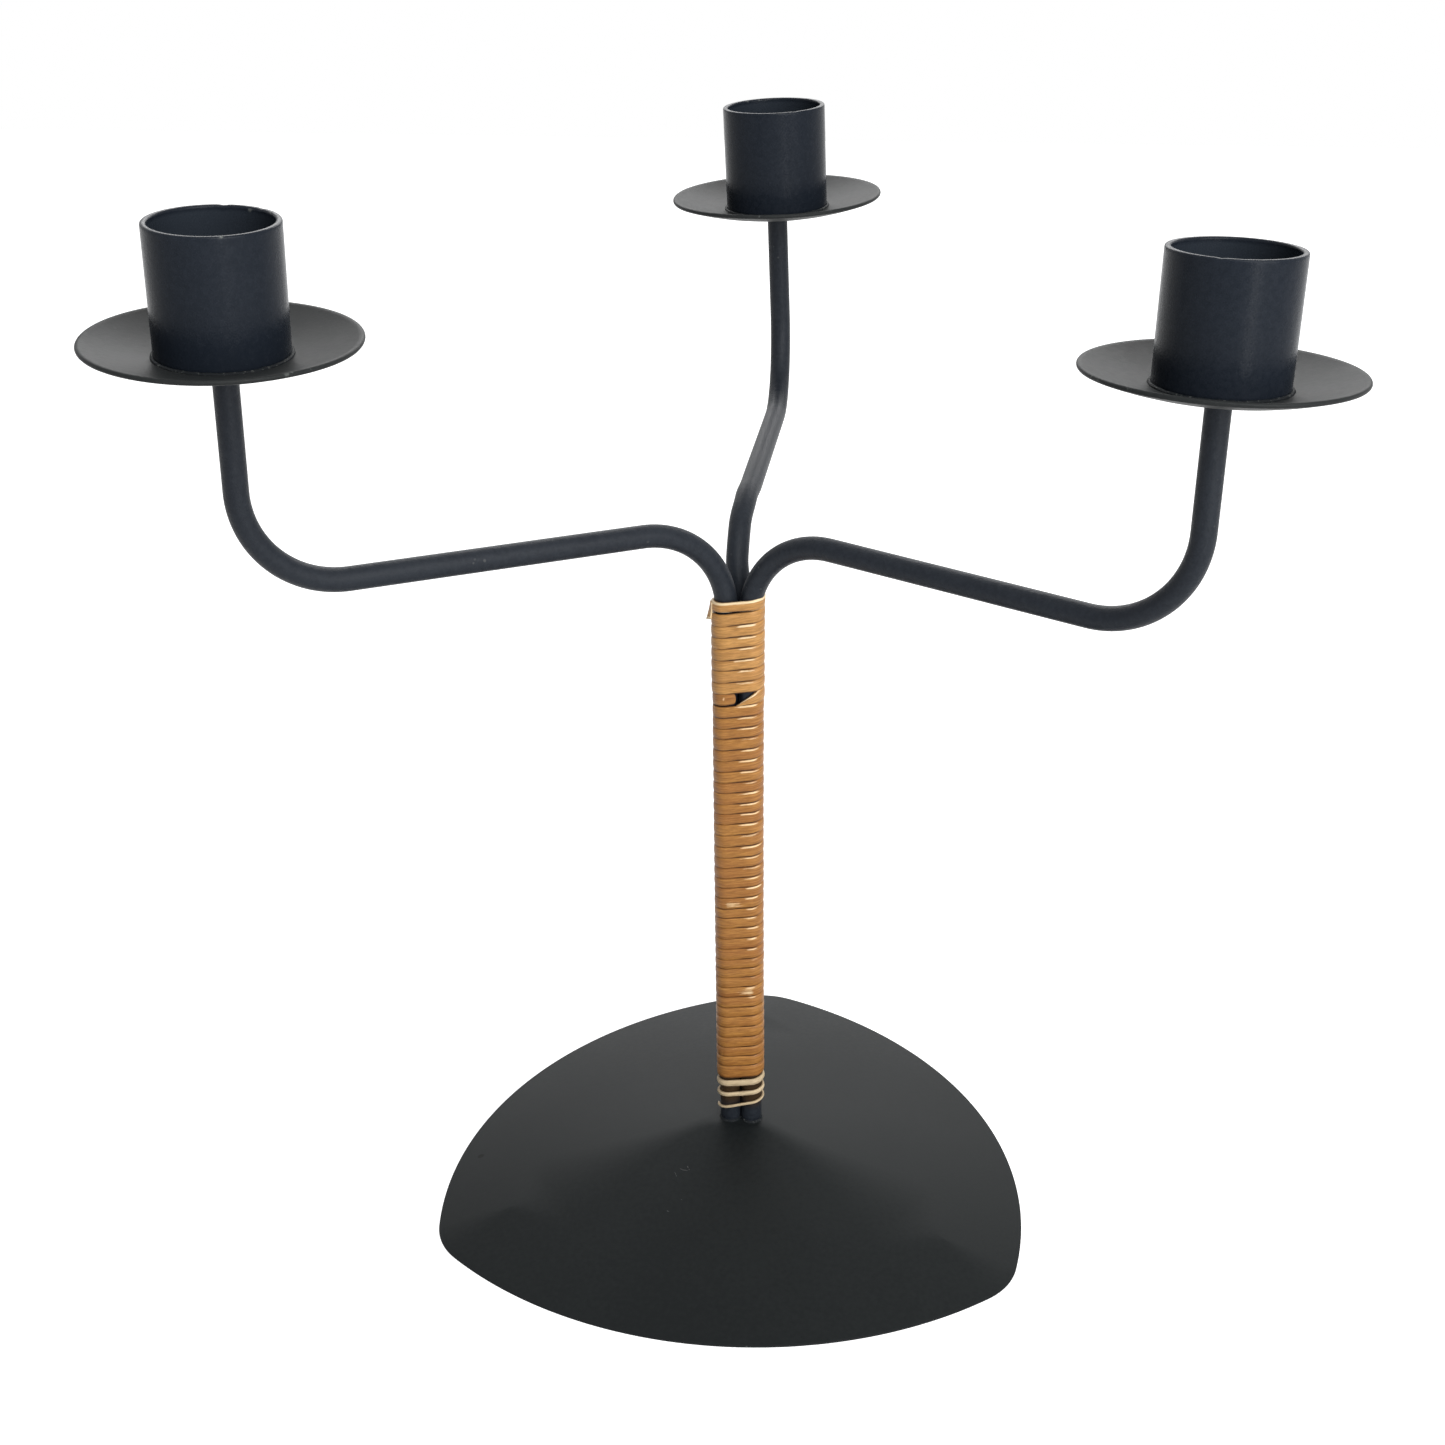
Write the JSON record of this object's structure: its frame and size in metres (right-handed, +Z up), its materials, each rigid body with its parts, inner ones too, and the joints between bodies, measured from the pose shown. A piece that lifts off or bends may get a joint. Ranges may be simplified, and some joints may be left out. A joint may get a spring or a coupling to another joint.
{
  "type": "tabletop candelabra",
  "caption": "Tabletop candelabra: a cane-bound stem of bent rods on a ridged pressed base, its arms carrying dished drip pans with upright candle cups.",
  "frame": {"origin": "on the table plane, below the middle of the three-rod stem", "axes": "+Z up along the stem, +Y towards the back arm, so that the left and right arms point to -X and +X and a little to -Y"},
  "size_m": [0.2332, 0.2132, 0.244],
  "materials": {
    "base_paint": "satin black paint on pressed sheet steel",
    "rod_paint": "satin black paint on bent steel rod",
    "pan_paint": "satin black paint on dished sheet steel",
    "cup_paint": "satin black paint, a little worn on the rim",
    "painted_weld": "rough bead under black paint",
    "cane": "split cane with a glossy skin",
    "pale_cane": "dry strand without its skin"
  },
  "bodies": {
    "root": {"base_dome": "base_paint", "foot_weld": "painted_weld", "rod_left": "rod_paint", "rod_right": "rod_paint", "rod_back": "rod_paint", "pan_left": "pan_paint", "pan_right": "pan_paint", "pan_back": "pan_paint", "rod_weld_left": "painted_weld", "rod_weld_right": "painted_weld", "rod_weld_back": "painted_weld", "cup_left": "cup_paint", "cup_right": "cup_paint", "cup_back": "cup_paint", "cup_weld_left": "painted_weld", "cup_weld_right": "painted_weld", "cup_weld_back": "painted_weld", "cane_lower": "cane", "cane_upper": "cane", "cane_strand": "pale_cane", "cane_tuck": "cane"}
  },
  "joints": []
}
